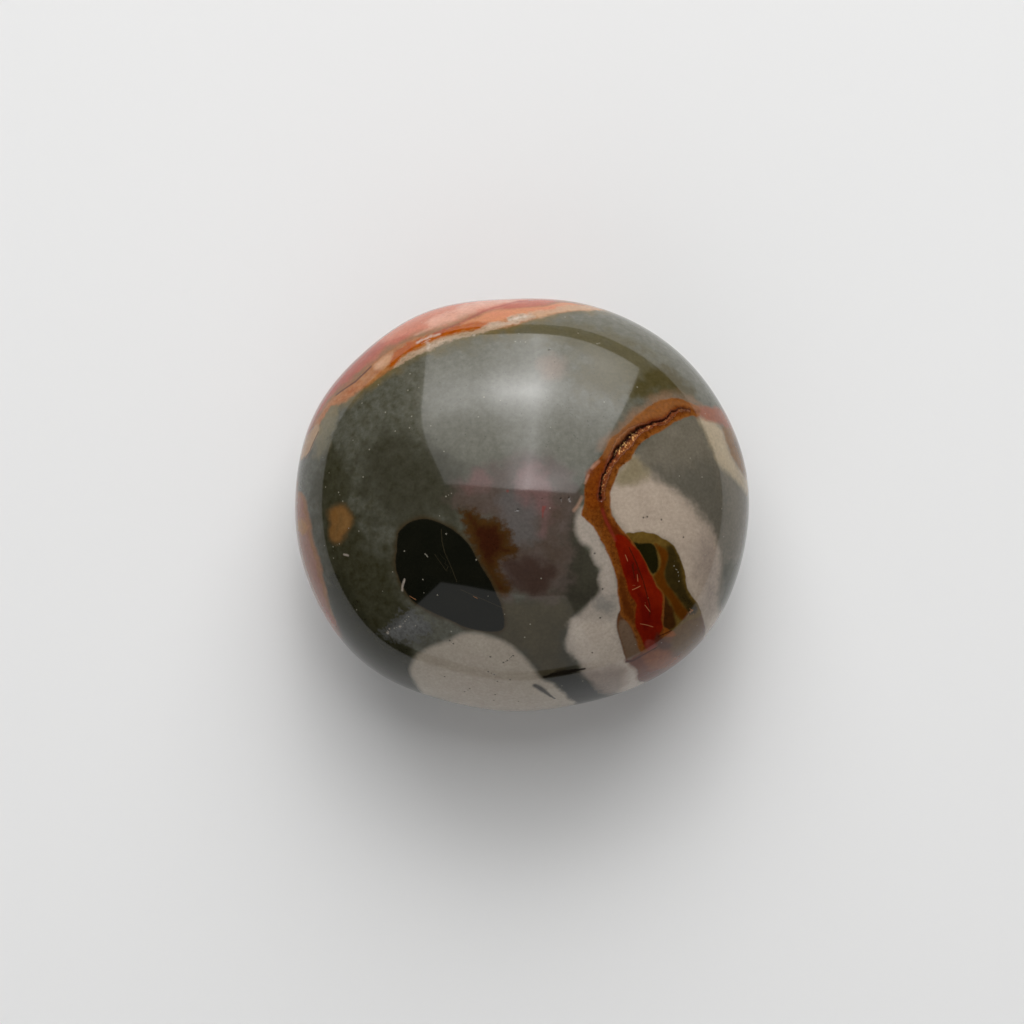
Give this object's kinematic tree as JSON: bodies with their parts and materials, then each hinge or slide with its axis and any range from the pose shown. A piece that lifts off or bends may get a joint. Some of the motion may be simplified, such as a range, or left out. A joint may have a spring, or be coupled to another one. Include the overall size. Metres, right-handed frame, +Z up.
{
  "type": "polished jasper pebble",
  "caption": "Palm-sized polished jasper pebble, an oval dome above and below with a rounded rim, resting on a small flat spot.",
  "frame": {"origin": "centre of the bounding box in X and Y, at the level of the flat spot that the stone rests on", "axes": "+X along the stone's longest side, +Y across its width towards the side that is at the top of the picture, +Z up"},
  "size_m": [0.062, 0.0566, 0.0338],
  "materials": {
    "jasper": "polished, glossy, in olive green, cream, rust red, pink and black zones"
  },
  "bodies": {
    "root": {"jasper_stone": "jasper"}
  },
  "joints": []
}
